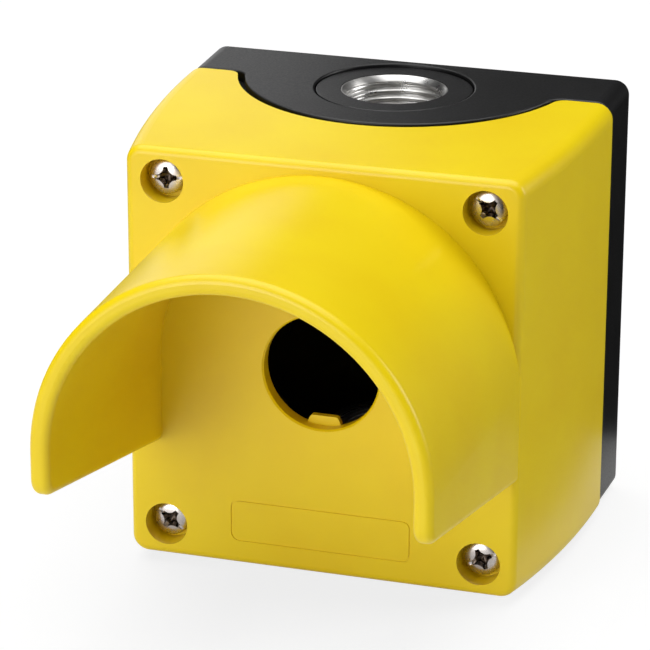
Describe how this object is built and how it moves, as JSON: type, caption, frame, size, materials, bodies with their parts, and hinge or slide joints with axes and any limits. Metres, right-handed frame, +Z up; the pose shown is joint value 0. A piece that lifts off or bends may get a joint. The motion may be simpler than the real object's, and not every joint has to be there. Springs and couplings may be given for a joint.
{
  "type": "push-button enclosure",
  "caption": "Square wall-mounted enclosure for a 22 mm control device, with a moulded collar open at the bottom, screwed cover and metal-threaded cable entries.",
  "frame": {"origin": "middle of the wall face", "axes": "+X to the right as seen from the front, +Y into the wall, +Z up"},
  "size_m": [0.0856, 0.117, 0.085],
  "materials": {
    "yellow_plastic": "moulded, fine satin texture",
    "black_plastic": "moulded, fine matt texture",
    "seal_rubber": "moulded rubber",
    "stainless_steel": "bright cold-headed",
    "nylon": "natural moulded",
    "brass": "turned",
    "nickel_plated_brass": "turned and nickel plated"
  },
  "bodies": {
    "base": {"base": "black_plastic", "thread_insert_top_left": "brass", "thread_insert_top_right": "brass", "thread_insert_bottom_left": "brass", "thread_insert_bottom_right": "brass", "entry_adapter_top": "black_plastic", "entry_bush_top": "nickel_plated_brass", "entry_seal_top": "seal_rubber", "entry_locknut_top": "black_plastic", "entry_adapter_bottom": "black_plastic", "entry_bush_bottom": "nickel_plated_brass", "entry_seal_bottom": "seal_rubber", "entry_locknut_bottom": "black_plastic"},
    "cover": {"cover": "yellow_plastic", "cover_seal": "seal_rubber"},
    "ring_top_left": {"screw_ring_top_left": "nylon"},
    "screw_top_left": {"cover_screw_top_left": "stainless_steel"},
    "ring_top_right": {"screw_ring_top_right": "nylon"},
    "screw_top_right": {"cover_screw_top_right": "stainless_steel"},
    "ring_bottom_left": {"screw_ring_bottom_left": "nylon"},
    "screw_bottom_left": {"cover_screw_bottom_left": "stainless_steel"},
    "ring_bottom_right": {"screw_ring_bottom_right": "nylon"},
    "screw_bottom_right": {"cover_screw_bottom_right": "stainless_steel"}
  },
  "joints": [
    {"name": "cover_lift", "type": "slide", "parent": "base", "child": "cover", "axis": [0, -1, 0], "range_m": [0, 0.06]},
    {"name": "ring_travel_top_left", "type": "slide", "parent": "cover", "child": "ring_top_left", "axis": [0, -1, 0], "range_m": [0, 0.0072]},
    {"name": "screw_turn_top_left", "type": "hinge", "parent": "ring_top_left", "child": "screw_top_left", "pos_m": [-0.0307, -0.06, 0.0342], "axis": [0, -1, 0], "range_deg": [0, 3703]},
    {"name": "ring_travel_top_right", "type": "slide", "parent": "cover", "child": "ring_top_right", "axis": [0, -1, 0], "range_m": [0, 0.0072]},
    {"name": "screw_turn_top_right", "type": "hinge", "parent": "ring_top_right", "child": "screw_top_right", "pos_m": [0.0307, -0.06, 0.0342], "axis": [0, -1, 0], "range_deg": [0, 3703]},
    {"name": "ring_travel_bottom_left", "type": "slide", "parent": "cover", "child": "ring_bottom_left", "axis": [0, -1, 0], "range_m": [0, 0.0072]},
    {"name": "screw_turn_bottom_left", "type": "hinge", "parent": "ring_bottom_left", "child": "screw_bottom_left", "pos_m": [-0.0307, -0.06, -0.0342], "axis": [0, -1, 0], "range_deg": [0, 3703]},
    {"name": "ring_travel_bottom_right", "type": "slide", "parent": "cover", "child": "ring_bottom_right", "axis": [0, -1, 0], "range_m": [0, 0.0072]},
    {"name": "screw_turn_bottom_right", "type": "hinge", "parent": "ring_bottom_right", "child": "screw_bottom_right", "pos_m": [0.0307, -0.06, -0.0342], "axis": [0, -1, 0], "range_deg": [0, 3703]}
  ],
  "couplings": [
    {"joint": "screw_turn_top_left", "follows": "ring_travel_top_left", "rad_per_m": 8976},
    {"joint": "screw_turn_top_right", "follows": "ring_travel_top_right", "rad_per_m": 8976},
    {"joint": "screw_turn_bottom_left", "follows": "ring_travel_bottom_left", "rad_per_m": 8976},
    {"joint": "screw_turn_bottom_right", "follows": "ring_travel_bottom_right", "rad_per_m": 8976}
  ]
}
